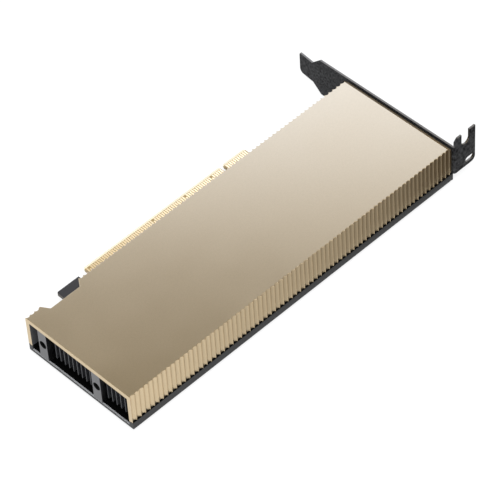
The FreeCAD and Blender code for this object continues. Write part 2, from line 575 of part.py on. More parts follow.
def make_flange():
    """The flange that the chassis screw clamps, with its open notch and a small slot."""
    bend_x = PLATE_BACK_X + BEND_RADIUS
    end_x = PLATE_FACE_X + FLANGE_REACH
    top = FLANGE_BOTTOM_Z + FLANGE_HEIGHT
    plate_top = PLATE_BOTTOM_Z + PLATE_HEIGHT
    cut = FLANGE_CHAMFER
    points = [(bend_x, FLANGE_BOTTOM_Z), (end_x, FLANGE_BOTTOM_Z), (end_x, top),
              (PLATE_BACK_X + STEEL / 2 + cut, top), (PLATE_BACK_X + STEEL / 2, top - cut),
              (PLATE_BACK_X + STEEL / 2, plate_top + STEEL / 2), (bend_x, plate_top + STEEL / 2)]
    corners = [FreeCAD.Vector(x, FLANGE_FACE_Y, z) for x, z in points]
    face = Part.Face(Part.makePolygon(corners + corners[:1]))
    flange = face.extrude(FreeCAD.Vector(0, STEEL, 0))
    corner = [edge for edge in flange.Edges
              if edge.BoundBox.XMin > end_x - THREAD_CLEARANCE
              and edge.BoundBox.ZMax < FLANGE_BOTTOM_Z + THREAD_CLEARANCE]
    flange = flange.makeFillet(FLANGE_CORNER, corner)
    notch_x = PLATE_FACE_X + SCREW_NOTCH_X
    radius = SCREW_NOTCH_WIDTH / 2
    low_y = FLANGE_FACE_Y - STEEL
    notch_middle_z = SCREW_NOTCH_BOTTOM_Z + radius
    through = FreeCAD.Vector(0, 1, 0)
    notch = Part.makeCylinder(radius, CUT_THROUGH, FreeCAD.Vector(notch_x, low_y, notch_middle_z), through)
    mouth = box((notch_x - radius, low_y, notch_middle_z),
                (notch_x + radius, low_y + CUT_THROUGH, top + STEEL))
    half = (SLOT_LENGTH - SLOT_WIDTH) / 2
    slot_x = PLATE_FACE_X + SLOT_X
    slot = box((slot_x - half, low_y, SLOT_Z - SLOT_WIDTH / 2),
               (slot_x + half, low_y + CUT_THROUGH, SLOT_Z + SLOT_WIDTH / 2))
    ends = []
    for side in (-1, 1):
        end = FreeCAD.Vector(slot_x + side * half, low_y, SLOT_Z)
        ends.append(Part.makeCylinder(SLOT_WIDTH / 2, CUT_THROUGH, end, through))
    return flange.cut([notch, mouth, slot] + ends)


def make_bracket():
    """One folded steel bracket: plate with vents, tab, bend and flange."""
    top = PLATE_BOTTOM_Z + PLATE_HEIGHT
    strip = bracket_plan_strip(top, PLATE_BOTTOM_Z)
    bend_y = FLANGE_FACE_Y + BEND_RADIUS
    plate = strip.common(bracket_side_outline())
    bend_part = box((PLATE_BACK_X - STEEL, FLANGE_FACE_Y - STEEL, FLANGE_BOTTOM_Z),
                    (PLATE_BACK_X + BEND_RADIUS, bend_y, top))
    plate = plate.cut(box((PLATE_BACK_X - STEEL, FLANGE_FACE_Y - STEEL, PLATE_BOTTOM_Z - STEEL),
                          (PLATE_BACK_X + 2 * BEND_RADIUS, bend_y, top + STEEL)))
    plate = plate.fuse([strip.common(bend_part), make_flange()]).removeSplitter()
    first_y = (FRONT_POST_YS[0] + FRONT_POST_YS[1] - (VENT_COUNT - 1) * VENT_PITCH) / 2
    plate = plate.cut([vent_slot(first_y + index * VENT_PITCH) for index in range(VENT_COUNT)])
    for y in FRONT_POST_YS:
        wide = BRACKET_SCREW_R + STEEL
        mouth = FreeCAD.Vector(PLATE_BACK_X, y, FRONT_POST_HOLE_Z)
        plate = plate.cut(Part.makeCone(BRACKET_SCREW_R + THREAD_CLEARANCE, wide, STEEL, mouth,
                                        FreeCAD.Vector(1, 0, 0)))
    return plate


def make_bracket_screws():
    """Two flat-headed screws that pull the bracket against the front posts."""
    screws = []
    outward = FreeCAD.Vector(1, 0, 0)
    for y in FRONT_POST_YS:
        neck = FreeCAD.Vector(PLATE_BACK_X, y, FRONT_POST_HOLE_Z)
        head_r = BRACKET_SCREW_R + STEEL
        head = Part.makeCone(BRACKET_SCREW_R, head_r - HEAD_CLEARANCE, STEEL, neck, outward)
        shank = Part.makeCylinder(BRACKET_SCREW_R, BRACKET_SCREW_LENGTH, neck, outward * -1)
        mouth = neck + outward * STEEL
        recess = driver_recess(head_r, STEEL, mouth, outward * -1)
        screws.append(head.fuse(shank).removeSplitter().cut(recess))
    return screws


def make_rear_posts():
    """Two metal posts in the rear mouth, each with a countersunk threaded hole."""
    posts = []
    inward = FreeCAD.Vector(1, 0, 0)
    for y in REAR_POST_YS:
        post = box((0, y - POST_WIDTH / 2, TRAY_RIM_HEIGHT), (POST_DEPTH, y + POST_WIDTH / 2, CEILING_Z))
        foot = box((TRAY_RAIL_WIDTH, y - POST_WIDTH / 2, TRAY_FLOOR),
                   (POST_DEPTH, y + POST_WIDTH / 2, TRAY_RIM_HEIGHT))
        mouth = FreeCAD.Vector(0, y, REAR_POST_HOLE_Z)
        bore = Part.makeCylinder(REAR_POST_HOLE_R, REAR_POST_HOLE_DEPTH, mouth, inward)
        sink = Part.makeCone(REAR_POST_SINK_R, REAR_POST_HOLE_R, REAR_POST_SINK_R - REAR_POST_HOLE_R,
                             mouth, inward)
        posts.append(post.fuse(foot).removeSplitter().cut([bore, sink]))
    return posts


def make_front_posts():
    """Two metal posts on the board that the bracket is screwed to."""
    posts = []
    for y in FRONT_POST_YS:
        half = FRONT_POST_WIDTH / 2
        low_y = max(y - half, BOARD_NEAR_Y)
        post = box((FRONT_POST_X, low_y, BOARD_TOP_Z), (PLATE_BACK_X, y + half, CEILING_Z))
        mouth = FreeCAD.Vector(PLATE_BACK_X, y, FRONT_POST_HOLE_Z)
        bore = Part.makeCylinder(BRACKET_SCREW_R + THREAD_CLEARANCE, BRACKET_SCREW_LENGTH + BORE_PAST_SCREW,
                                 mouth, FreeCAD.Vector(-1, 0, 0))
        posts.append(post.cut(bore))
    return posts


def cover_boss_rooms():
    """The room that the heat sink leaves round the cover's four pillars, open to its sides."""
    rooms = []
    reach = COVER_BOSS_SIZE / 2 + COVER_BOSS_GAP
    for x, y in cover_boss_places():
        low_y, high_y = (0, y + reach) if y < COVER_MIDDLE_Y else (y - reach, COVER_WIDTH)
        rooms.append(box((x - reach, low_y, BOARD_TOP_Z), (x + reach, high_y, CEILING_Z)))
    return rooms


def make_sink_base():
    """The heat sink's metal plate, which spreads the heat under the fins."""
    low = (BASE_REAR_X, BASE_NEAR_Y, SINK_BOTTOM_Z)
    plate = box(low, (FIN_FRONT_X, BASE_FAR_Y, SINK_PLATE_TOP_Z))
    corners = [(x, y) for x in (low[0], FIN_FRONT_X) for y in (BASE_NEAR_Y, BASE_FAR_Y)]
    plate = plate.makeChamfer(BASE_CORNER, upright_edges(plate, corners))
    return plate.cut(cover_boss_rooms())


def fin_side(start_x):
    """A fin as seen from the front flank, with its overhang past the base where it has room."""
    if start_x < BASE_REAR_X:
        return [(start_x, FIN_OVERHANG_Z), (BOARD_REAR_X, FIN_OVERHANG_Z), (BOARD_REAR_X, SINK_PLATE_TOP_Z),
                (FIN_FRONT_X, SINK_PLATE_TOP_Z), (FIN_FRONT_X, FIN_TOP_Z), (start_x, FIN_TOP_Z)]
    return [(start_x, SINK_PLATE_TOP_Z), (FIN_FRONT_X, SINK_PLATE_TOP_Z),
            (FIN_FRONT_X, FIN_TOP_Z), (start_x, FIN_TOP_Z)]


def make_fins():
    """Thin fins along the air stream; those behind a rear post start behind it."""
    fins = []
    for index in range(FIN_COUNT):
        y = FIN_FIRST_Y + index * FIN_PITCH
        room = (POST_WIDTH + FIN_THICKNESS) / 2 + COVER_BOSS_GAP
        blocked = any(abs(y - post_y) < room for post_y in REAR_POST_YS)
        start_x = BASE_REAR_X if blocked else FIN_REAR_X
        corners = [FreeCAD.Vector(x, y - FIN_THICKNESS / 2, z) for x, z in fin_side(start_x)]
        face = Part.Face(Part.makePolygon(corners + corners[:1]))
        fin = face.extrude(FreeCAD.Vector(0, FIN_THICKNESS, 0)).cut(cover_boss_rooms())
        fins += fin.Solids
    return fins


def make_standoffs():
    """Six-sided threaded standoffs between the board and the heat sink, round the package."""
    standoffs = []
    for x, y in sink_screw_places():
        tube = six_sided_block(x, y, STANDOFF_ACROSS_FLATS, BOARD_TOP_Z, SINK_BOTTOM_Z)
        standoffs.append(tube.cut(upright(x, y, SINK_SCREW_R + THREAD_CLEARANCE, 0, COVER_TOP_Z)))
    return standoffs


def make_sink_screws():
    """Screws up through the board into the standoffs, with thin heads that clear the tray floor."""
    screws = []
    head_low_z = TRAY_FLOOR + SINK_SCREW_HEAD_GAP
    for x, y in sink_screw_places():
        head = six_sided_block(x, y, SINK_SCREW_ACROSS_FLATS, head_low_z, TRAY_RIM_HEIGHT)
        shank = upright(x, y, SINK_SCREW_R, TRAY_RIM_HEIGHT, SINK_BOTTOM_Z - STANDOFF_THREAD_LEFT)
        screws.append(head.fuse(shank))
    return screws


def make_stiffener():
    """A metal ring on the package's border that keeps its substrate flat."""
    z = BOARD_TOP_Z + SUBSTRATE_HEIGHT
    ring = block(PACKAGE_X, PACKAGE_Y, z, (SUBSTRATE_SIZE, SUBSTRATE_SIZE, STIFFENER_HEIGHT))
    inner = SUBSTRATE_SIZE - 2 * STIFFENER_BORDER
    return ring.cut(block(PACKAGE_X, PACKAGE_Y, z, (inner, inner, STIFFENER_HEIGHT)))


def memory_places():
    """Chip centres in two columns, one each side of the processor package."""
    places = []
    for side in (-1, 1):
        for row in range(MEMORY_COUNT):
            offset = (row - (MEMORY_COUNT - 1) / 2) * MEMORY_PITCH_Y
            places.append((PACKAGE_X + side * MEMORY_OFFSET_X, PACKAGE_Y + offset))
    return places


def row_of_blocks(offset_x, count, size):
    """Equal blocks in a row across the board, standing on it."""
    blocks = []
    for index in range(count):
        y = PACKAGE_Y + (index - (count - 1) / 2) * PHASE_PITCH
        blocks.append(block(PACKAGE_X + offset_x, y, BOARD_TOP_Z, size))
    return blocks


def make_inductors():
    """Moulded inductors with rounded upright corners."""
    inductors = []
    for inductor in row_of_blocks(INDUCTOR_OFFSET_X, PHASE_COUNT,
                                  (INDUCTOR_LENGTH, INDUCTOR_WIDTH, INDUCTOR_HEIGHT)):
        bounds = inductor.BoundBox
        corners = [(x, y) for x in (bounds.XMin, bounds.XMax) for y in (bounds.YMin, bounds.YMax)]
        inductors.append(inductor.makeChamfer(INDUCTOR_CORNER, upright_edges(inductor, corners)))
    return inductors


def export(name, solids):
    """Move the solids to the part's origin and write them as one node."""
    moved = []
    for solid in solids:
        copy = solid.copy()
        copy.translate(ORIGIN * -1)
        moved.append(copy)
    shape = moved[0] if len(moved) == 1 else Part.makeCompound(moved)
    shape.exportStep("parts/" + name + ".step")


def main():
    package_top = BOARD_TOP_Z + SUBSTRATE_HEIGHT
    die_top = package_top + DIE_HEIGHT
    memory_top = BOARD_TOP_Z + MEMORY_HEIGHT
    stage_top = BOARD_TOP_Z + STAGE_HEIGHT
    export("cover", [make_cover()])
    export("backplate_tray", [make_tray()])
    export("circuit_board", [make_board()])
    export("edge_contacts_top", make_contacts(BOARD_TOP_Z, SHORT_CONTACT_NUMBERS))
    export("edge_contacts_bottom", make_contacts(TRAY_RIM_HEIGHT - CONTACT_THICKNESS, ()))
    export("edge_film", [make_film()])
    export("tray_insulator", [make_insulator()])
    export("io_bracket", [make_bracket()])
    export("bracket_screws", make_bracket_screws())
    export("rear_posts", make_rear_posts())
    export("front_posts", make_front_posts())
    export("heatsink_base", [make_sink_base()])
    export("heatsink_fins", make_fins())
    export("heatsink_standoffs", make_standoffs())
    export("heatsink_screws", make_sink_screws())
    export("cover_screws", [countersunk_screw(x, y, COVER_SCREW_HEAD_R, COVER_SCREW_R, COVER_SCREW_TOP_Z)
                            for x, y in cover_boss_places()])
    export("processor_substrate", [block(PACKAGE_X, PACKAGE_Y, BOARD_TOP_Z,
                                         (SUBSTRATE_SIZE, SUBSTRATE_SIZE, SUBSTRATE_HEIGHT))])
    export("processor_stiffener", [make_stiffener()])
    export("processor_die", [block(PACKAGE_X, PACKAGE_Y, package_top, (DIE_LENGTH, DIE_WIDTH, DIE_HEIGHT))])
    export("thermal_compound", [block(PACKAGE_X, PACKAGE_Y, die_top,
                                      (DIE_LENGTH, DIE_WIDTH, COMPOUND_THICKNESS))])
    export("memory_chips", [block(x, y, BOARD_TOP_Z, (MEMORY_LENGTH, MEMORY_WIDTH, MEMORY_HEIGHT))
                            for x, y in memory_places()])
    pad_size = (MEMORY_LENGTH - PAD_MARGIN, MEMORY_WIDTH - PAD_MARGIN, SINK_BOTTOM_Z - memory_top)
    export("memory_thermal_pads", [block(x, y, memory_top, pad_size) for x, y in memory_places()])
    stage_size = (STAGE_LENGTH, STAGE_WIDTH, STAGE_HEIGHT)
    export("power_stages", row_of_blocks(STAGE_OFFSET_X, PHASE_COUNT, stage_size))
    strip_length = (PHASE_COUNT - 1) * PHASE_PITCH + STAGE_WIDTH
    export("power_stage_pad", [block(PACKAGE_X + STAGE_OFFSET_X, PACKAGE_Y, stage_top,
                                     (STAGE_LENGTH - PAD_MARGIN, strip_length, SINK_BOTTOM_Z - stage_top))])
    export("power_inductors", make_inductors())
    capacitor_size = (CAPACITOR_LENGTH, CAPACITOR_WIDTH, CAPACITOR_HEIGHT)
    export("output_capacitors", row_of_blocks(CAPACITOR_OFFSET_X, PHASE_COUNT, capacitor_size))
    export("input_capacitors",
           row_of_blocks(INPUT_CAPACITOR_OFFSET_X, INPUT_CAPACITOR_COUNT, capacitor_size))
    export("firmware_chip", [block(PACKAGE_X + FIRMWARE_OFFSET_X, PACKAGE_Y + FIRMWARE_OFFSET_Y,
                                   BOARD_TOP_Z, FIRMWARE_SIZE)])
    export("clock_crystal", [block(PACKAGE_X + CRYSTAL_OFFSET_X, PACKAGE_Y + CRYSTAL_OFFSET_Y,
                                   BOARD_TOP_Z, CRYSTAL_SIZE)])


main()
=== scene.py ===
import json
import math

import bpy
from mathutils import Matrix, Vector

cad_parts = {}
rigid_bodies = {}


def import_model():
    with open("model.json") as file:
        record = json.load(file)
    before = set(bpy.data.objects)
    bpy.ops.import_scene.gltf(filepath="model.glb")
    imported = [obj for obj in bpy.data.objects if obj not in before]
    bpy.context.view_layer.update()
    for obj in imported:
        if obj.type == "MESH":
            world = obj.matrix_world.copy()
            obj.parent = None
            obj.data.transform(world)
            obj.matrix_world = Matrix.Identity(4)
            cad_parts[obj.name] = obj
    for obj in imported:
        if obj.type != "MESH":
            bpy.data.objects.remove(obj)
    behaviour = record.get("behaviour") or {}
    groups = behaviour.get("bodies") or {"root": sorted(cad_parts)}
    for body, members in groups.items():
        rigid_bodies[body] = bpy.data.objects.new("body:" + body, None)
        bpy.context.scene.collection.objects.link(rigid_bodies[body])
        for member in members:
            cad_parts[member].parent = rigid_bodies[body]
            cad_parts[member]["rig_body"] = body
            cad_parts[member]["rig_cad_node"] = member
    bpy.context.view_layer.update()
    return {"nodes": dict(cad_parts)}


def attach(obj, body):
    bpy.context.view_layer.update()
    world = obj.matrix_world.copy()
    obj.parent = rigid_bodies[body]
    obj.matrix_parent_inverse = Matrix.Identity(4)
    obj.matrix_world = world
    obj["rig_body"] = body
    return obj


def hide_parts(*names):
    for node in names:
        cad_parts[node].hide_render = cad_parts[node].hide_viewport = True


# A half-length, low-profile accelerator card without a fan: a fluted metal duct over
# a heat sink, on a dark tray, with an edge connector and a folded steel bracket.
# The script goes through it from the tray upwards. Sizes are in millimetres.
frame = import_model()
nodes = frame["nodes"]
MM = 0.001


# Tray
# The tray is a shallow die-cast aluminium pan with a dark grey powder coat. Its floor inside,
# the ledge under the cover and the inner part of the rear lip are painted black as painted
# shade, and the outer strip of the lip is bare grey metal, painted lighter as a painted
# highlight too. Its raised rail carries the near flank of the cover, and four pads take screws.
WELD_DISTANCE = 0.001
FLAT_WITHIN_DEG = 0.3
SHARP_EDGE_DEG = 32
LARGE_FACE_WEIGHT = 90
TRAY_EDGE_BREAK = 0.14
TRAY_INSIDE_HALF_LENGTH = 82.2
TRAY_INSIDE_HALF_WIDTH = 25.9
TRAY_INSIDE_LOW_Z = 0.95
TRAY_LEDGE_Y = -27.85
TRAY_LEDGE_Z = 2.2
TRAY_LIP_X = -83.6
FACES_UP = 0.9
LEANS_UP = 0.3
FACES_DOWN = -0.5
TRAY_GREY = (0.016, 0.016, 0.0165, 1)
# Painted shade: black for the tray's inside, its ledge under the cover and the inner lip.
TRAY_PAINTED_SHADE = (0.002, 0.002, 0.002, 1)
# Bare grey metal for the outer strip of the lip, partly a painted highlight.
LIP_GREY_AND_HIGHLIGHT = (0.30, 0.30, 0.305, 1)


def select_only(piece):
    """One object is picked and active, and nothing else."""
    bpy.ops.object.select_all(action="DESELECT")
    piece.select_set(True)
    bpy.context.view_layer.objects.active = piece


def edit_all(piece):
    """One object is in edit mode, with all of its mesh picked."""
    select_only(piece)
    bpy.ops.object.mode_set(mode="EDIT")
    bpy.ops.mesh.select_all(action="SELECT")


def merge_faces(piece):
    """The loose triangles of a piece become one shell with flat faces."""
    edit_all(piece)
    bpy.ops.mesh.customdata_custom_splitnormals_clear()
    bpy.ops.mesh.remove_doubles(threshold=WELD_DISTANCE * MM)
    bpy.ops.mesh.dissolve_limited(angle_limit=math.radians(FLAT_WITHIN_DEG))
    bpy.ops.object.mode_set(mode="OBJECT")


def break_edges(piece, width, segments=2):
    """Sharp edges get a small round, and flat faces stay flat in the light."""
    select_only(piece)
    bevel = piece.modifiers.new("edge_break", "BEVEL")
    bevel.width = width * MM
    bevel.segments = segments
    bevel.limit_method = "ANGLE"
    bevel.angle_limit = math.radians(SHARP_EDGE_DEG)
    bpy.ops.object.modifier_apply(modifier=bevel.name)
    bpy.ops.object.shade_smooth_by_angle(angle=math.radians(SHARP_EDGE_DEG))
    flat = piece.modifiers.new("flat_faces", "WEIGHTED_NORMAL")
    flat.weight = LARGE_FACE_WEIGHT
    flat.keep_sharp = True
    bpy.ops.object.modifier_apply(modifier=flat.name)


def shaped_from(node, name):
    """A merged copy of a frame part, ready to be finished in its place."""
    piece = nodes[node].copy()
    piece.data = nodes[node].data.copy()
    piece.name = name
    piece.parent = None
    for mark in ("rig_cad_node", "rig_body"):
        del piece[mark]
    bpy.context.scene.collection.objects.link(piece)
    merge_faces(piece)
    return piece


def finish_piece(piece, material_slot, *covered):
    """The piece moves with the card and stands for the frame parts that it covers."""
    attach(piece, "root")
    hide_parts(*covered)


# Steps that the finishes share. The colour sockets of a Mix node have numbers, because
# its names stand for several sockets each.
COLOUR_UNDER, COLOUR_OVER, COLOUR_MIXED = 6, 7, 2


def calculated(tree, operation, *values):
    """One sum in a finish, of numbers or of values that change over the surface."""
    node = tree.nodes.new("ShaderNodeMath")
    node.operation = operation
    for socket, value in zip(node.inputs, values):
        if isinstance(value, (int, float)):
            socket.default_value = value
        else:
            tree.links.new(value, socket)
    return node.outputs[0]


def stretched(tree, value, from_range, to_range=(0.0, 1.0)):
    """A value moved from one range to another."""
    node = tree.nodes.new("ShaderNodeMapRange")
    ends = ("From Min", "From Max", "To Min", "To Max")
    for socket, number in zip(ends, (*from_range, *to_range)):
        node.inputs[socket].default_value = number
    tree.links.new(value, node.inputs["Value"])
    return node.outputs["Result"]


# The grain and the clouds are two noises, and the clouds also vary the gloss.
GRAIN_SOCKETS = ("Grain Size", "Grain Amount", "Cloud Size", "Cloud Amount")
GRAIN_DETAIL = 2.0
CLOUD_DETAIL = 3.0
CLOUD_RANGE = (0.3, 0.7)
RELIEF_STRENGTH = 0.6


def fine_grain_group():
    """Fine grain of a blasted, moulded or coated surface, and faint clouds from handling."""
    group = bpy.data.node_groups.new("fine_grain", "ShaderNodeTree")
    for socket in GRAIN_SOCKETS:
        group.interface.new_socket(name=socket, in_out="INPUT", socket_type="NodeSocketFloat")
    for socket in ("Tone", "Cloud", "Height"):
        group.interface.new_socket(name=socket, in_out="OUTPUT", socket_type="NodeSocketFloat")
    inputs = group.nodes.new("NodeGroupInput")
    outputs = group.nodes.new("NodeGroupOutput")
    place = group.nodes.new("ShaderNodeTexCoord")
    patterns, shares = [], []
    for kind, detail in (("Grain", GRAIN_DETAIL), ("Cloud", CLOUD_DETAIL)):
        noise = group.nodes.new("ShaderNodeTexNoise")
        noise.inputs["Detail"].default_value = detail
        group.links.new(place.outputs["Object"], noise.inputs["Vector"])
        per_metre = calculated(group, "DIVIDE", 1 / MM, inputs.outputs[f"{kind} Size"])
        group.links.new(per_metre, noise.inputs["Scale"])
        centred = calculated(group, "SUBTRACT", noise.outputs["Fac"], 0.5)
        patterns.append(noise.outputs["Fac"])
        shares.append(calculated(group, "MULTIPLY", centred, inputs.outputs[f"{kind} Amount"]))
    tone = calculated(group, "ADD", calculated(group, "ADD", *shares), 1.0)
    group.links.new(tone, outputs.inputs["Tone"])
    group.links.new(patterns[1], outputs.inputs["Cloud"])
    group.links.new(patterns[0], outputs.inputs["Height"])
    return group


fine_grain = fine_grain_group()


def grained(name, colour, roughness, grain, relief=0.004, metallic=0.0, shine=0.5, spread=0.08):
    """A coated, moulded or blasted finish: one colour, and gloss that varies a little.
    The grain has a size and an amount for the grains, then for the clouds."""
    material = bpy.data.materials.new(name)
    material.use_nodes = True
    tree = material.node_tree
    surface = tree.nodes["Principled BSDF"]
    surface.inputs["Metallic"].default_value = metallic
    surface.inputs["Specular IOR Level"].default_value = shine
    texture = tree.nodes.new("ShaderNodeGroup")
    texture.node_tree = fine_grain
    for socket, value in zip(GRAIN_SOCKETS, grain):
        texture.inputs[socket].default_value = value
    tint = tree.nodes.new("ShaderNodeMix")
    tint.name = "Tint"
    tint.data_type = "RGBA"
    tint.blend_type = "MULTIPLY"
    tint.inputs["Factor"].default_value = 1.0
    tint.inputs[COLOUR_UNDER].default_value = colour
    tree.links.new(texture.outputs["Tone"], tint.inputs[COLOUR_OVER])
    tree.links.new(tint.outputs[COLOUR_MIXED], surface.inputs["Base Color"])
    dullness = (roughness - spread / 2, roughness + spread / 2)
    gloss = stretched(tree, texture.outputs["Cloud"], CLOUD_RANGE, dullness)
    tree.links.new(gloss, surface.inputs["Roughness"])
    bump = tree.nodes.new("ShaderNodeBump")
    bump.inputs["Strength"].default_value = RELIEF_STRENGTH
    bump.inputs["Distance"].default_value = relief * MM
    tree.links.new(texture.outputs["Height"], bump.inputs["Height"])
    tree.links.new(bump.outputs["Normal"], surface.inputs["Normal"])
    return material


def wear(piece, *materials):
    """The piece has these materials and no others."""
    piece.data.materials.clear()
    for material in materials:
        piece.data.materials.append(material)


tray = shaped_from("backplate_tray", "tray")
break_edges(tray, TRAY_EDGE_BREAK)
powder_coat = grained("tray_powder_coat", TRAY_GREY, roughness=0.46,
                      grain=(0.5, 0.16, 25.0, 0.1), relief=0.012, shine=0.3)
# Painted shade: the tray's inside, the ledge under the cover and the inner lip are black.
painted_shade_black = grained("tray_painted_shade_black", TRAY_PAINTED_SHADE, roughness=0.6,
                       grain=(0.3, 0.1, 15.0, 0.1), shine=0.03)
# The outer strip of the lip is bare grey metal, painted lighter as a painted highlight too.
bare_lip_and_highlight = grained("tray_bare_lip_and_highlight", LIP_GREY_AND_HIGHLIGHT, roughness=0.45,
                   grain=(0.25, 0.16, 6.0, 0.1), metallic=0.2)
wear(tray, powder_coat, painted_shade_black, bare_lip_and_highlight)
for cut_place, cut_across in (((TRAY_LIP_X, 0, 0), (1, 0, 0)), ((0, TRAY_LEDGE_Y, 0), (0, 1, 0))):
    edit_all(tray)
    bpy.ops.mesh.bisect(plane_co=[v * MM for v in cut_place], plane_no=cut_across)
    bpy.ops.object.mode_set(mode="OBJECT")
# Faces inside the tray, on the ledge under the cover and on the inner lip get the painted shade.
for face in tray.data.polygons:
    x, y, z = face.center / MM
    inside = TRAY_LIP_X < x < TRAY_INSIDE_HALF_LENGTH and abs(y) < TRAY_INSIDE_HALF_WIDTH
    under_cover = y > TRAY_LEDGE_Y and z > TRAY_LEDGE_Z and face.normal.z > FACES_UP
    if (inside or under_cover) and z > TRAY_INSIDE_LOW_Z and face.normal.z > FACES_DOWN:
        face.material_index = 1
    # The outer strip of the lip top gets the bare grey with its painted highlight.
    elif x < TRAY_LIP_X and z < TRAY_LEDGE_Z and face.normal.z > LEANS_UP:
        face.material_index = 2
finish_piece(tray, "tray_metal", "backplate_tray")


# Insulating sheet
# A punched sheet of matt black polyester lies on the tray floor and keeps the solder
# side of the board off the metal. It is held by adhesive.
FILM_BLACK = (0.003, 0.003, 0.003, 1)

black_film = grained("black_polyester", FILM_BLACK, roughness=0.6,
                     grain=(0.2, 0.06, 30.0, 0.05), relief=0.002, shine=0.06)
wear(nodes["tray_insulator"], black_film)


# Circuit board
# The board is glass laminate with a black solder mask. The mask stops short of the
# contact tongue, whose tip is ground to a bevel so that it slides into the slot.
BOARD_EDGE_BREAK = 0.04
MASK_END_Y = 34.9
GROUND_BEVEL_Y = 40.0
TONGUE_REAR_X = -45.3
UPRIGHT_SIDE = 0.5
SOLDER_MASK = (0.014, 0.015, 0.018, 1)
MASK_SHEEN = (1.0, 0.85, 0.66, 1)
CUT_LAMINATE = (0.020, 0.018, 0.014, 1)
BARE_LAMINATE = (0.27, 0.19, 0.08, 1)
GROUND_LAMINATE = (0.64, 0.58, 0.43, 1)


def split_axes(tree, kind, output):
    """The X, Y and Z of a place on the piece, or of the way that its surface faces."""
    axes = tree.nodes.new("ShaderNodeSeparateXYZ")
    tree.links.new(tree.nodes.new(kind).outputs[output], axes.inputs[0])
    return axes.outputs


def blended(tree, mask, under, over):
    """A colour laid over another where the mask is one."""
    mix = tree.nodes.new("ShaderNodeMix")
    mix.data_type = "RGBA"
    tree.links.new(mask, mix.inputs["Factor"])
    if isinstance(under, tuple):
        mix.inputs[COLOUR_UNDER].default_value = under
    else:
        tree.links.new(under, mix.inputs[COLOUR_UNDER])
    mix.inputs[COLOUR_OVER].default_value = over
    return mix.outputs[COLOUR_MIXED]


board = shaped_from("circuit_board", "board")
break_edges(board, BOARD_EDGE_BREAK, segments=1)

laminate = grained("board_laminate", SOLDER_MASK, roughness=0.34,
                   grain=(0.25, 0.12, 12.0, 0.08), relief=0.003)
tree = laminate.node_tree
tree.nodes["Principled BSDF"].inputs["Specular Tint"].default_value = MASK_SHEEN
place = split_axes(tree, "ShaderNodeTexCoord", "Object")
faces = split_axes(tree, "ShaderNodeNewGeometry", "Normal")
past_rear = calculated(tree, "GREATER_THAN", place["X"], TONGUE_REAR_X * MM)
past_mask = calculated(tree, "GREATER_THAN", place["Y"], MASK_END_Y * MM)
past_ground = calculated(tree, "GREATER_THAN", place["Y"], GROUND_BEVEL_Y * MM)
on_tongue = calculated(tree, "MULTIPLY", past_mask, past_rear)
on_bevel = calculated(tree, "MULTIPLY", past_ground, past_rear)
cut_side = calculated(tree, "LESS_THAN", calculated(tree, "ABSOLUTE", faces["Z"]), UPRIGHT_SIDE)
colour = blended(tree, cut_side, SOLDER_MASK, CUT_LAMINATE)
colour = blended(tree, on_tongue, colour, BARE_LAMINATE)
colour = blended(tree, on_bevel, colour, GROUND_LAMINATE)
tree.links.new(colour, tree.nodes["Tint"].inputs[COLOUR_UNDER])
wear(board, laminate)
finish_piece(board, "board_laminate", "circuit_board")


# Edge contacts
# Two rows of copper pads on the tongue, plated with nickel and hard gold and polished.
# They are 0.05 mm proud of the laminate, at a pitch of one millimetre.
CONTACT_EDGE_BREAK = 0.012
HARD_GOLD = (0.97, 0.73, 0.40, 1)

plated_gold = grained("hard_gold_plate", HARD_GOLD, roughness=0.24,
                      grain=(0.2, 0.05, 6.0, 0.08), relief=0.0006, metallic=1.0)
for row in ("edge_contacts_top", "edge_contacts_bottom"):
    pads = shaped_from(row, row.replace("edge_contacts", "contact_row"))
    break_edges(pads, CONTACT_EDGE_BREAK, segments=1)
    wear(pads, plated_gold)
    finish_piece(pads, "contact_gold", row)


# Insulating film on the board's margin
# The far flank of the cover stands on a strip of the same black polyester, which keeps
# it off the copper along the connector side.
wear(nodes["edge_film"], black_film)


# Processor package
# A bare die on a green laminate substrate, kept flat by a nickel-plated ring. A thin
# layer of grey compound carries its heat into the plate above.
PACKAGE_GREEN = (0.035, 0.11, 0.05, 1)
NICKEL = (0.56, 0.55, 0.52, 1)
SILICON = (0.16, 0.17, 0.20, 1)
COMPOUND_GREY = (0.33, 0.33, 0.34, 1)

green_laminate = grained("package_laminate", PACKAGE_GREEN, roughness=0.35,
                         grain=(0.3, 0.1, 8.0, 0.1))
nickel_plate = grained("nickel_plate", NICKEL, roughness=0.28,
                       grain=(0.2, 0.06, 9.0, 0.05), relief=0.001, metallic=1.0)
bare_silicon = grained("bare_silicon", SILICON, roughness=0.1,
                       grain=(0.1, 0.01, 9.0, 0.05), relief=0.0002, metallic=1.0)
grey_compound = grained("heat_compound", COMPOUND_GREY, roughness=0.55,
                        grain=(0.8, 0.2, 5.0, 0.1), relief=0.02)
wear(nodes["processor_substrate"], green_laminate)
wear(nodes["processor_stiffener"], nickel_plate)
wear(nodes["processor_die"], bare_silicon)
wear(nodes["thermal_compound"], grey_compound)


# Memory and power parts
# Moulded chips, pressed inductors and capacitors are soldered round the package. Soft
# pads carry the heat of the memory and the power stages into the plate above.
CHIP_BLACK = (0.02, 0.02, 0.021, 1)
PAD_BLUE = (0.25, 0.34, 0.42, 1)
POWDER_GREY = (0.06, 0.06, 0.062, 1)
CAPACITOR_BROWN = (0.16, 0.09, 0.035, 1)
CRYSTAL_NICKEL = (0.55, 0.54, 0.50, 1)

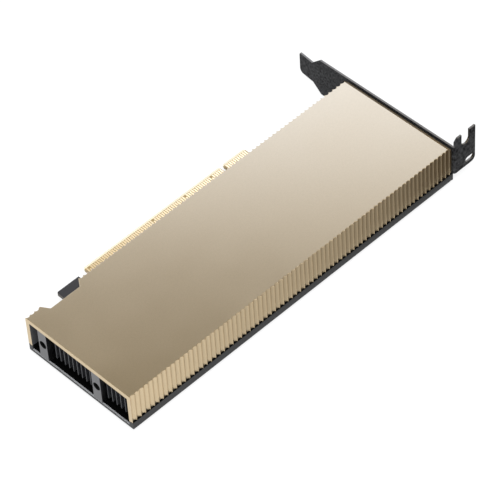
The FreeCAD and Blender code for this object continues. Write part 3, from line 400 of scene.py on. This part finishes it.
chip_moulding = grained("chip_moulding", CHIP_BLACK, roughness=0.55,
                        grain=(0.12, 0.2, 6.0, 0.1), relief=0.006)
soft_pad = grained("soft_heat_pad", PAD_BLUE, roughness=0.7,
                   grain=(0.4, 0.15, 8.0, 0.08), relief=0.02)
pressed_powder = grained("pressed_iron_powder", POWDER_GREY, roughness=0.5,
                         grain=(0.15, 0.3, 5.0, 0.1), relief=0.01, metallic=0.3)
capacitor_body = grained("capacitor_body", CAPACITOR_BROWN, roughness=0.3,
                         grain=(0.2, 0.1, 4.0, 0.1))
crystal_can = grained("crystal_can", CRYSTAL_NICKEL, roughness=0.25,
                      grain=(0.1, 0.05, 3.0, 0.06), relief=0.001, metallic=1.0)
for node in ("memory_chips", "power_stages", "firmware_chip"):
    wear(nodes[node], chip_moulding)
for node in ("memory_thermal_pads", "power_stage_pad"):
    wear(nodes[node], soft_pad)
for node in ("output_capacitors", "input_capacitors"):
    wear(nodes[node], capacitor_body)
wear(nodes["power_inductors"], pressed_powder)
wear(nodes["clock_crystal"], crystal_can)


# Heat sink
# Thin aluminium fins are brazed to a plate and anodised black. They run the length of
# the duct, so that the air of the server passes between them. Standoffs and thin
# screws, plated dark, hold the plate to the board.
SINK_BLACK = (0.028, 0.028, 0.031, 1)
DARK_NICKEL = (0.16, 0.16, 0.17, 1)

sink_black = grained("black_anodised", SINK_BLACK, roughness=0.5,
                     grain=(0.35, 0.3, 14.0, 0.2), metallic=0.2)
dark_nickel = grained("dark_nickel_screw", DARK_NICKEL, roughness=0.32,
                      grain=(0.15, 0.1, 3.0, 0.1), relief=0.002, metallic=1.0)
for node in ("heatsink_base", "heatsink_fins"):
    wear(nodes[node], sink_black)
for node in ("heatsink_standoffs", "heatsink_screws"):
    wear(nodes[node], dark_nickel)


# End posts
# Milled aluminium posts stand on the tray in the rear mouth, each with a countersunk
# threaded hole for a chassis support. Two shorter ones at the front hold the bracket.
POST_EDGE_BREAK = 0.12
POST_HOLE_Z = 9.0
POST_HOLE_YS = (-9.35, 19.4)
POST_SINK_R = 1.85
POST_FACE_ALONG_X = 0.78
POST_GREY = (0.155, 0.155, 0.16, 1)
# Painted shade for the inside of the threaded bores.
BORE_PAINTED_SHADE = (0.002, 0.002, 0.002, 1)

milled_grey = grained("milled_grey", POST_GREY, roughness=0.38,
                      grain=(0.25, 0.16, 5.0, 0.12), relief=0.006, metallic=1.0)
# The threaded bores are painted black as painted shade.
bore_painted_shade = grained("bore_painted_shade", BORE_PAINTED_SHADE, roughness=0.6,
                       grain=(0.2, 0.2, 3.0, 0.1), shine=0.03)
for posts in ("rear_posts", "front_posts"):
    pair = shaped_from(posts, posts.replace("posts", "support_posts"))
    break_edges(pair, POST_EDGE_BREAK)
    wear(pair, milled_grey, bore_painted_shade)
    if posts == "rear_posts":
        # Faces of the threaded bores get the painted shade.
        for face in pair.data.polygons:
            x, y, z = face.center / MM
            from_axis = min(math.hypot(y - hole_y, z - POST_HOLE_Z) for hole_y in POST_HOLE_YS)
            if from_axis < POST_SINK_R and abs(face.normal.x) < POST_FACE_ALONG_X:
                face.material_index = 1
    finish_piece(pair, "post_metal", posts)


# Cover
# The cover is one milled aluminium channel: round flutes down both flanks, a plain top
# that slopes at the bracket and a notch beside the board's hook. It is blasted and
# anodised champagne gold outside. Its inner walls are painted dark grey as painted shade,
# and the slope at the bracket is painted brown as painted shade.
COVER_REAR_X = -84.15
COVER_FRONT_X = 84.15
COVER_HALF_WIDTH = 27.85
COVER_FOOT_Z = 3.4
COVER_TOP_Z = 17.54
COVER_CEILING_Z = 15.64
COVER_WALL = 1.9
COVER_EDGE_BREAK = 0.04
COVER_TOP_ROUND = 0.2
COVER_TOP_ROUND_STEPS = 3
COVER_INSIDE_HALF_WIDTH = 26.71
COVER_INSIDE_HIGH_Z = 15.84
FRONT_SLOPE_LENGTH = 1.8
FRONT_SLOPE_DEPTH = 1.4
FOOT_REBATE_DEPTH = 0.95
FOOT_REBATE_HEIGHT = 0.2
FLUTE_COUNT = 77
FLUTE_PITCH = 2.196
FLUTE_DEPTH = 0.68
FLUTE_RADIUS = ((FLUTE_PITCH / 2) ** 2 + FLUTE_DEPTH ** 2) / (2 * FLUTE_DEPTH)
FLUTE_CIRCLE_CORNERS = 40
FLUTE_JOIN_DISTANCE = 0.06
OUTLINE_JOIN_DISTANCE = 0.05
NOTCH_REAR_FLUTE = 3
NOTCH_FRONT_FLUTE = 12
NOTCH_DEPTH = 3.4
NOTCH_INSIDE_Y = 24.35
NOTCH_REAR_SHOULDER = 0.8
NOTCH_REAR_SLANT = 2.1
NOTCH_FRONT_SLANT = 2.3
PILLAR_SIZE = 4.8
PILLAR_FOOT_Z = 3.07
PILLAR_BORE_R = 1.3
PILLAR_BORE_TOP_Z = 9.6
PILLAR_PLACES = ((-60.15, -19.2), (-60.15, 19.2), (61.85, -19.2), (61.85, 19.2))
ROUND_TOOL_CORNERS = 32
NEAR = 0.01
FACES_ALONG = 0.95
CHAMPAGNE = (0.60, 0.48, 0.31, 1)
# Painted shade for the inner walls of the cover.
INSIDE_PAINTED_SHADE = (0.10, 0.10, 0.105, 1)
# Painted shade for the slope at the bracket.
SLOPE_PAINTED_SHADE = (0.18, 0.135, 0.08, 1)


def flute_run(first, count, side):
    """The edge of a run of flutes in plan: one hollow is cut from a circle and repeated."""
    plane_y = side * COVER_HALF_WIDTH
    middle_x = COVER_REAR_X + (first + 0.5) * FLUTE_PITCH
    middle_y = plane_y + side * (FLUTE_RADIUS - FLUTE_DEPTH)
    bpy.ops.object.select_all(action="DESELECT")
    bpy.ops.mesh.primitive_circle_add(vertices=FLUTE_CIRCLE_CORNERS, radius=FLUTE_RADIUS * MM,
                                      location=(middle_x * MM, middle_y * MM, COVER_FOOT_Z * MM))
    run = bpy.context.object
    bpy.ops.object.transform_apply(location=True, rotation=True, scale=True)
    edit_all(run)
    bpy.ops.mesh.bisect(plane_co=(0, plane_y * MM, 0), plane_no=(0, side, 0), clear_outer=True)
    bpy.ops.object.mode_set(mode="OBJECT")
    repeat = run.modifiers.new("repeat", "ARRAY")
    repeat.count = count
    repeat.use_relative_offset = False
    repeat.use_constant_offset = True
    repeat.constant_offset_displace = (FLUTE_PITCH * MM, 0, 0)
    repeat.use_merge_vertices = True
    repeat.merge_threshold = FLUTE_JOIN_DISTANCE * MM
    bpy.ops.object.modifier_apply(modifier=repeat.name)
    return run


def drawn_edge(points, z):
    """A chain of straight edges in plan, drawn from corner to corner."""
    start_x, start_y = points[0]
    bpy.ops.object.select_all(action="DESELECT")
    bpy.ops.mesh.primitive_plane_add(size=MM, location=(start_x * MM, start_y * MM, z * MM))
    chain = bpy.context.object
    bpy.ops.object.transform_apply(location=True, rotation=True, scale=True)
    edit_all(chain)
    bpy.ops.mesh.merge(type="CENTER")
    for start, end in zip(points, points[1:]):
        stroke = ((end[0] - start[0]) * MM, (end[1] - start[1]) * MM, 0)
        bpy.ops.mesh.extrude_region_move(TRANSFORM_OT_translate={"value": stroke})
    bpy.ops.object.mode_set(mode="OBJECT")
    return chain


def raised_outline(chains, low_z, high_z, name):
    """Chains that meet end to end are closed, filled and raised into a solid."""
    bpy.ops.object.select_all(action="DESELECT")
    for chain in chains:
        chain.select_set(True)
    bpy.context.view_layer.objects.active = chains[0]
    if len(chains) > 1:
        bpy.ops.object.join()
    solid = bpy.context.object
    solid.name = name
    edit_all(solid)
    bpy.ops.mesh.remove_doubles(threshold=OUTLINE_JOIN_DISTANCE * MM)
    bpy.ops.mesh.select_all(action="SELECT")
    bpy.ops.mesh.edge_face_add()
    bpy.ops.mesh.select_all(action="SELECT")
    rise = (0, 0, (high_z - low_z) * MM)
    bpy.ops.mesh.extrude_region_move(TRANSFORM_OT_translate={"value": rise})
    bpy.ops.mesh.select_all(action="SELECT")
    bpy.ops.mesh.normals_make_consistent(inside=False)
    bpy.ops.object.mode_set(mode="OBJECT")
    return solid


def worked(piece, tool, operation):
    """A tool shape is cut out of the piece, or fused to it, and then removed."""
    select_only(piece)
    work = piece.modifiers.new("work", "BOOLEAN")
    work.operation = operation
    work.object = tool
    work.solver = "EXACT"
    bpy.ops.object.modifier_apply(modifier=work.name)
    bpy.data.objects.remove(tool)


def copied(tool, x, y):
    """Another tool of the same shape, with its own mesh, moved in plan."""
    twin = tool.copy()
    twin.data = tool.data.copy()
    twin.location = (x * MM, y * MM, 0)
    bpy.context.scene.collection.objects.link(twin)
    return twin


def flute_x(count):
    """Where a number of flutes from the rear end stops."""
    return COVER_REAR_X + count * FLUTE_PITCH


def notch_path(wall):
    """The notch in plan from front to rear, drawn in by a wall thickness."""
    far = COVER_HALF_WIDTH - wall
    deep = far - NOTCH_DEPTH
    front = flute_x(NOTCH_FRONT_FLUTE) + wall
    rear = flute_x(NOTCH_REAR_FLUTE) + NOTCH_REAR_SHOULDER - wall
    return [(front, far), (front - NOTCH_FRONT_SLANT, deep), (rear + NOTCH_REAR_SLANT, deep),
            (rear, far)]


front_x = flute_x(FLUTE_COUNT)
notch_front_x = flute_x(NOTCH_FRONT_FLUTE)
notch_rear_x = flute_x(NOTCH_REAR_FLUTE)
notch_edge = [(notch_front_x, COVER_HALF_WIDTH), *notch_path(0)[1:], (notch_rear_x, COVER_HALF_WIDTH)]
cover = raised_outline([
    flute_run(0, FLUTE_COUNT, -1),
    drawn_edge([(front_x, -COVER_HALF_WIDTH), (front_x, COVER_HALF_WIDTH)], COVER_FOOT_Z),
    flute_run(NOTCH_FRONT_FLUTE, FLUTE_COUNT - NOTCH_FRONT_FLUTE, 1),
    drawn_edge(notch_edge, COVER_FOOT_Z),
    flute_run(0, NOTCH_REAR_FLUTE, 1),
    drawn_edge([(COVER_REAR_X, COVER_HALF_WIDTH), (COVER_REAR_X, -COVER_HALF_WIDTH)], COVER_FOOT_Z),
], COVER_FOOT_Z, COVER_TOP_Z, "fluted_cover")

past = COVER_WALL
inner = COVER_HALF_WIDTH - COVER_WALL
channel = [(COVER_REAR_X - past, -inner), (front_x + past, -inner), (front_x + past, inner),
           *notch_path(COVER_WALL), (COVER_REAR_X - past, inner), (COVER_REAR_X - past, -inner)]
channel_tool = raised_outline([drawn_edge(channel, COVER_FOOT_Z - past)], COVER_FOOT_Z - past,
                              COVER_CEILING_Z, "channel_tool")
worked(cover, channel_tool, "DIFFERENCE")
beyond = front_x + past
slope_rear_x = COVER_FRONT_X - FRONT_SLOPE_LENGTH
slope = [(slope_rear_x, COVER_TOP_Z), (COVER_FRONT_X, COVER_TOP_Z - FRONT_SLOPE_DEPTH),
         (COVER_FRONT_X, 0), (beyond, 0), (beyond, COVER_TOP_Z + past),
         (slope_rear_x, COVER_TOP_Z + past), (slope_rear_x, COVER_TOP_Z)]
slope_side = COVER_HALF_WIDTH + past
slope_tool = raised_outline([drawn_edge(slope, -slope_side)], -slope_side, slope_side, "slope_tool")
slope_tool.rotation_euler = (math.pi / 2, 0, 0)
bpy.ops.object.transform_apply(location=True, rotation=True, scale=True)
worked(cover, slope_tool, "DIFFERENCE")
for side in (-1, 1):
    low_z, high_z = COVER_FOOT_Z - past, COVER_FOOT_Z + FOOT_REBATE_HEIGHT
    rim_y = side * (COVER_HALF_WIDTH - FOOT_REBATE_DEPTH + past)
    bpy.ops.object.select_all(action="DESELECT")
    bpy.ops.mesh.primitive_cube_add(size=1.0, location=(0, rim_y * MM, (low_z + high_z) / 2 * MM),
                                    scale=(2 * beyond * MM, 2 * past * MM, (high_z - low_z) * MM))
    rebate_tool = bpy.context.object
    bpy.ops.object.transform_apply(location=True, rotation=True, scale=True)
    worked(cover, rebate_tool, "DIFFERENCE")
half = PILLAR_SIZE / 2
square = [(-half, -half), (half, -half), (half, half), (-half, half), (-half, -half)]
pillar = raised_outline([drawn_edge(square, PILLAR_FOOT_Z)], PILLAR_FOOT_Z,
                        COVER_CEILING_Z + past / 2, "pillar")
depth = PILLAR_BORE_TOP_Z - PILLAR_FOOT_Z + past
bpy.ops.object.select_all(action="DESELECT")
bpy.ops.mesh.primitive_cylinder_add(
    vertices=ROUND_TOOL_CORNERS, radius=PILLAR_BORE_R * MM, depth=depth * MM,
    location=(0, 0, (PILLAR_BORE_TOP_Z - depth / 2) * MM))
bore_tool = bpy.context.object
bpy.ops.object.transform_apply(location=True, rotation=True, scale=True)
for x, y in PILLAR_PLACES:
    worked(cover, copied(pillar, x, y), "UNION")
    worked(cover, copied(bore_tool, x, y), "DIFFERENCE")
for tool in (pillar, bore_tool):
    bpy.data.objects.remove(tool)
select_only(cover)
bpy.ops.object.mode_set(mode="EDIT")
bpy.ops.mesh.select_all(action="DESELECT")
bpy.ops.object.mode_set(mode="OBJECT")
for edge in cover.data.edges:
    ends = [cover.data.vertices[corner].co / MM for corner in edge.vertices]
    edge.select = min(end.z for end in ends) > COVER_TOP_Z - NEAR
bpy.ops.object.mode_set(mode="EDIT")
bpy.ops.mesh.select_mode(type="EDGE")
bpy.ops.mesh.bevel(offset=COVER_TOP_ROUND * MM, segments=COVER_TOP_ROUND_STEPS, profile=0.5)
bpy.ops.object.mode_set(mode="OBJECT")
break_edges(cover, COVER_EDGE_BREAK)

champagne = grained("champagne_anodised", CHAMPAGNE, roughness=0.34,
                    grain=(0.34, 0.16, 30.0, 0.03), metallic=1.0, spread=0.04)
# The inner walls are painted dark grey as painted shade.
painted_shade_inside = grained("painted_shade_inside", INSIDE_PAINTED_SHADE, roughness=0.5,
                      grain=(0.3, 0.12, 20.0, 0.08), metallic=0.3)
# The slope at the bracket is painted dark brown as painted shade.
slope_painted_shade = grained("champagne_slope_painted_shade", SLOPE_PAINTED_SHADE, roughness=0.78,
                       grain=(0.2, 0.12, 30.0, 0.03), metallic=1.0)
wear(cover, champagne, painted_shade_inside, slope_painted_shade)
# Inner wall faces get the painted shade, and the slope at the bracket its own painted shade.
for face in cover.data.polygons:
    x, y, z = face.center / MM
    behind_wall = abs(y) < COVER_INSIDE_HALF_WIDTH and z < COVER_INSIDE_HIGH_Z
    in_notch = y > NOTCH_INSIDE_Y and notch_rear_x < x < notch_front_x
    if behind_wall and abs(face.normal.x) < FACES_ALONG and not in_notch:
        face.material_index = 1
    # The slope at the bracket gets its painted shade.
    elif x > slope_rear_x and LEANS_UP < face.normal.z < FACES_ALONG:
        face.material_index = 2
finish_piece(cover, "champagne_metal", "cover")


# Bracket
# The bracket is punched and folded from 0.86 mm steel and coated matt black. Its edges are
# painted a lighter metal as a painted highlight, so they shine. Its tab goes into the chassis,
# and the chassis screw clamps the flange at its open notch.
BRACKET_EDGE_BREAK = 0.09
VENT_COUNT = 11
VENT_PITCH = 3.3
VENT_WIDTH = 2.12
VENT_HEIGHT = 9.42
VENT_MIDDLE_Z = 9.3
BRACKET_BACK_X = 84.59
BRACKET_STEEL = 0.86
BRACKET_BEND_END_X = 86.0
BRACKET_BEND_END_Y = -26.9
VENT_TOOL_LENGTH = 3 * BRACKET_STEEL
ACROSS_STEEL = 0.8
ALONG_STEEL = 0.2
COAT_BLACK = (0.027, 0.027, 0.028, 1)
# Painted highlight for the bracket's edges.
EDGE_PAINTED_HIGHLIGHT = (0.17, 0.145, 0.11, 1)

bracket = shaped_from("io_bracket", "folded_bracket")
straight = VENT_HEIGHT - VENT_WIDTH
bpy.ops.object.select_all(action="DESELECT")
bpy.ops.mesh.primitive_cylinder_add(
    vertices=ROUND_TOOL_CORNERS, radius=VENT_WIDTH / 2 * MM, depth=VENT_TOOL_LENGTH * MM,
    location=((BRACKET_BACK_X + BRACKET_STEEL / 2) * MM, 0, VENT_MIDDLE_Z * MM),
    rotation=(0, math.pi / 2, 0))
vent_tool = bpy.context.object
bpy.ops.object.transform_apply(location=True, rotation=True, scale=True)
for side in (-1, 1):
    for corner in vent_tool.data.vertices:
        corner.select = (corner.co.z / MM - VENT_MIDDLE_Z) * side > NEAR
    bpy.ops.object.mode_set(mode="EDIT")
    bpy.ops.mesh.select_mode(type="VERT")
    bpy.ops.transform.translate(value=(0, 0, side * straight / 2 * MM))
    bpy.ops.object.mode_set(mode="OBJECT")
for index in range(VENT_COUNT):
    vent_y = (index - (VENT_COUNT - 1) / 2) * VENT_PITCH
    worked(bracket, copied(vent_tool, 0, vent_y), "DIFFERENCE")
bpy.data.objects.remove(vent_tool)
break_edges(bracket, BRACKET_EDGE_BREAK)
matt_black = grained("matt_black_coat", COAT_BLACK, roughness=0.42,
                     grain=(0.9, 3.6, 9.0, 1.2), relief=0.04, shine=0.02)
# The edges are painted a lighter metal as a painted highlight.
edge_painted_highlight = grained("steel_edge_painted_highlight", EDGE_PAINTED_HIGHLIGHT, roughness=0.36,
                       grain=(0.3, 0.3, 4.0, 0.2), relief=0.006, metallic=1.0)
wear(bracket, matt_black, edge_painted_highlight)
# The tab leans out, so its outer face lies past the bend too and gets the edges' painted highlight.
for face in bracket.data.polygons:
    x, y, z = face.center / MM
    normal = face.normal
    past_bend = x > BRACKET_BEND_END_X
    across_plate = not past_bend and y > BRACKET_BEND_END_Y and abs(normal.y) > ACROSS_STEEL
    across_flange = past_bend and abs(normal.y) < ALONG_STEEL
    if abs(normal.z) > ACROSS_STEEL or across_plate or across_flange:
        face.material_index = 1
finish_piece(bracket, "bracket_steel", "io_bracket")


# Screws
# Flat-headed steel screws with a six-sided socket, plated dark. Four hold the cover
# through the tray and the board, and two pull the bracket against the front posts.
SCREW_EDGE_BREAK = 0.05

for screws in ("cover_screws", "bracket_screws"):
    group = shaped_from(screws, screws.replace("screws", "flat_head_screws"))
    break_edges(group, SCREW_EDGE_BREAK, segments=1)
    wear(group, dark_nickel)
    finish_piece(group, "screw_steel", screws)


# Floor, light and camera
# The card lies on a plain pale floor in a white studio. A large overhead softbox fades
# towards the near side, and a dark flag on the floor shades the near flank. Only
# reflections see these two, and two soft lamps light the card.
FLOOR_Z = -1.34
FLOOR_SIZE = 6000
FLOOR_PAINT = (0.9, 0.9, 0.9, 1)
FLOOR_GLOW = 0.8
STUDIO_WHITE = (1, 1, 1, 1)
STUDIO_LEVELS = (0.75, 1.0)
SOFTBOX_SIZE = (900, 900)
SOFTBOX_PLACE = (100, 112, 200)
SOFTBOX_DIM = (0.20, 0.17, 0.10, 1)
SOFTBOX_MIDDLE = (0.80, 0.77, 0.70, 1)
SOFTBOX_BRIGHT = (1.65, 1.95, 2.75, 1)
SOFTBOX_STEPS = (((130, 290), SOFTBOX_MIDDLE), ((235, 350), SOFTBOX_BRIGHT))
FLAG_SIZE = (330, 95)
FLAG_PLACE = (45, -78, FLOOR_Z + 0.02)
FLAG_FADE_X = (-75, 92)
FLAG_CLOTH = (0.02, 0.012, 0.004, 1)
REAR_LAMP_PLACE = (-620, -60, 360)
REAR_LAMP_AIM = (-80, 0, 8)
REAR_LAMP_SIZE = 720
REAR_LAMP_WATTS = 2.7
REAR_LAMP_COLOUR = (0.86, 0.94, 1.0)
HIGH_LAMP_PLACE = (-150, -250, 900)
HIGH_LAMP_AIM = (0, 0, 8)
HIGH_LAMP_SIZE = 700
HIGH_LAMP_WATTS = 9.0
HIGH_LAMP_COLOUR = (1, 1, 1)
CAMERA_PLACE = (-495.81, -555.45, 817.73)
CAMERA_AIM = (0.227, -2.647, 8.8)
CAMERA_ROLL_DEG = -3.954
CAMERA_LENS = 212.02
CAMERA_SENSOR = 36.0
CAMERA_NEAR = 50
CAMERA_FAR = 20000


def flat_card(name, size, place):
    """A level rectangle at a place in the studio."""
    bpy.ops.object.select_all(action="DESELECT")
    bpy.ops.mesh.primitive_plane_add(size=1.0, location=[v * MM for v in place])
    card = bpy.context.object
    card.name = name
    card.scale = (size[0] * MM, size[1] * MM, 1)
    bpy.ops.object.transform_apply(location=True, rotation=True, scale=True)
    return card


def dull_paint(name, colour):
    """A material of one colour without any gloss."""
    material = bpy.data.materials.new(name)
    material.use_nodes = True
    surface = material.node_tree.nodes["Principled BSDF"]
    surface.inputs["Base Color"].default_value = colour
    surface.inputs["Roughness"].default_value = 1.0
    surface.inputs["Specular IOR Level"].default_value = 0.0
    return material


def laid_over(tree, share, under, over):
    """One shader is laid over another by a share, as the surface of the material."""
    mix = tree.nodes.new("ShaderNodeMixShader")
    tree.links.new(share, mix.inputs["Fac"])
    tree.links.new(under, mix.inputs[1])
    tree.links.new(over, mix.inputs[2])
    tree.links.new(mix.outputs["Shader"], tree.nodes["Material Output"].inputs["Surface"])


def seen_directly(tree):
    """One for what the camera sees, straight or through a reflection, else nought."""
    path = tree.nodes.new("ShaderNodeLightPath").outputs
    straight = calculated(tree, "MAXIMUM", path["Is Camera Ray"], path["Is Glossy Ray"])
    return calculated(tree, "MAXIMUM", straight, path["Is Transmission Ray"])


floor = flat_card("floor", (FLOOR_SIZE, FLOOR_SIZE), (0, 0, FLOOR_Z))
floor_paint = dull_paint("pale_floor", FLOOR_PAINT)
tree = floor_paint.node_tree
glow = tree.nodes.new("ShaderNodeEmission")
laid_over(tree, calculated(tree, "MULTIPLY", seen_directly(tree), FLOOR_GLOW),
          tree.nodes["Principled BSDF"].outputs["BSDF"], glow.outputs["Emission"])
wear(floor, floor_paint)

world = bpy.data.worlds.new("white_studio")
bpy.context.scene.world = world
world.use_nodes = True
tree = world.node_tree
background = tree.nodes["Background"]
background.inputs["Color"].default_value = STUDIO_WHITE
level = stretched(tree, seen_directly(tree), (0.0, 1.0), STUDIO_LEVELS)
tree.links.new(level, background.inputs["Strength"])

softbox_light = bpy.data.materials.new("overhead_softbox")
softbox_light.use_nodes = True
tree = softbox_light.node_tree
tree.nodes.remove(tree.nodes["Principled BSDF"])
place = split_axes(tree, "ShaderNodeTexCoord", "Object")
diagonal = calculated(tree, "ADD", place["X"], place["Y"])
colour = SOFTBOX_DIM
for (start, end), brighter in SOFTBOX_STEPS:
    fade = stretched(tree, diagonal, (start * MM, end * MM))
    fade.node.interpolation_type = "SMOOTHSTEP"
    colour = blended(tree, fade, colour, brighter)
light = tree.nodes.new("ShaderNodeEmission")
tree.links.new(colour, light.inputs["Color"])
tree.links.new(light.outputs["Emission"], tree.nodes["Material Output"].inputs["Surface"])

flag_cloth = dull_paint("flag_cloth", FLAG_CLOTH)
tree = flag_cloth.node_tree
place = split_axes(tree, "ShaderNodeTexCoord", "Object")
clear = tree.nodes.new("ShaderNodeBsdfTransparent")
laid_over(tree, stretched(tree, place["X"], [x * MM for x in FLAG_FADE_X]),
          clear.outputs["BSDF"], tree.nodes["Principled BSDF"].outputs["BSDF"])

for card, paint in ((flat_card("overhead_softbox", SOFTBOX_SIZE, SOFTBOX_PLACE), softbox_light),
                    (flat_card("floor_flag", FLAG_SIZE, FLAG_PLACE), flag_cloth)):
    card.visible_camera = False
    card.visible_shadow = False
    card.visible_diffuse = False
    wear(card, paint)


def softbox_lamp(name, place, aim, size, watts, colour):
    """A square soft lamp turned towards a point."""
    lamp = bpy.data.lights.new(name, "AREA")
    lamp.shape = "SQUARE"
    lamp.size = size * MM
    lamp.energy = watts
    lamp.color = colour
    fitting = bpy.data.objects.new(name, lamp)
    bpy.context.scene.collection.objects.link(fitting)
    fitting.location = Vector(place) * MM
    fitting.rotation_euler = (Vector(aim) - Vector(place)).to_track_quat("-Z", "Y").to_euler()


softbox_lamp("rear_lamp", REAR_LAMP_PLACE, REAR_LAMP_AIM, REAR_LAMP_SIZE, REAR_LAMP_WATTS,
             REAR_LAMP_COLOUR)
softbox_lamp("high_lamp", HIGH_LAMP_PLACE, HIGH_LAMP_AIM, HIGH_LAMP_SIZE, HIGH_LAMP_WATTS,
             HIGH_LAMP_COLOUR)

camera_data = bpy.data.cameras.new("camera")
camera_data.lens = CAMERA_LENS
camera_data.sensor_width = CAMERA_SENSOR
camera_data.clip_start = CAMERA_NEAR * MM
camera_data.clip_end = CAMERA_FAR * MM
camera = bpy.data.objects.new("camera", camera_data)
bpy.context.scene.collection.objects.link(camera)
forward = (Vector(CAMERA_AIM) - Vector(CAMERA_PLACE)).normalized()
level_right = forward.cross(Vector((0, 0, 1))).normalized()
level_up = level_right.cross(forward)
roll = math.radians(CAMERA_ROLL_DEG)
right = math.cos(roll) * level_right + math.sin(roll) * level_up
up = -math.sin(roll) * level_right + math.cos(roll) * level_up
turn = Matrix((right, up, -forward)).transposed().to_4x4()
camera.matrix_world = Matrix.Translation(Vector(CAMERA_PLACE) * MM) @ turn
bpy.context.scene.camera = camera
bpy.context.scene.view_settings.view_transform = "Standard"
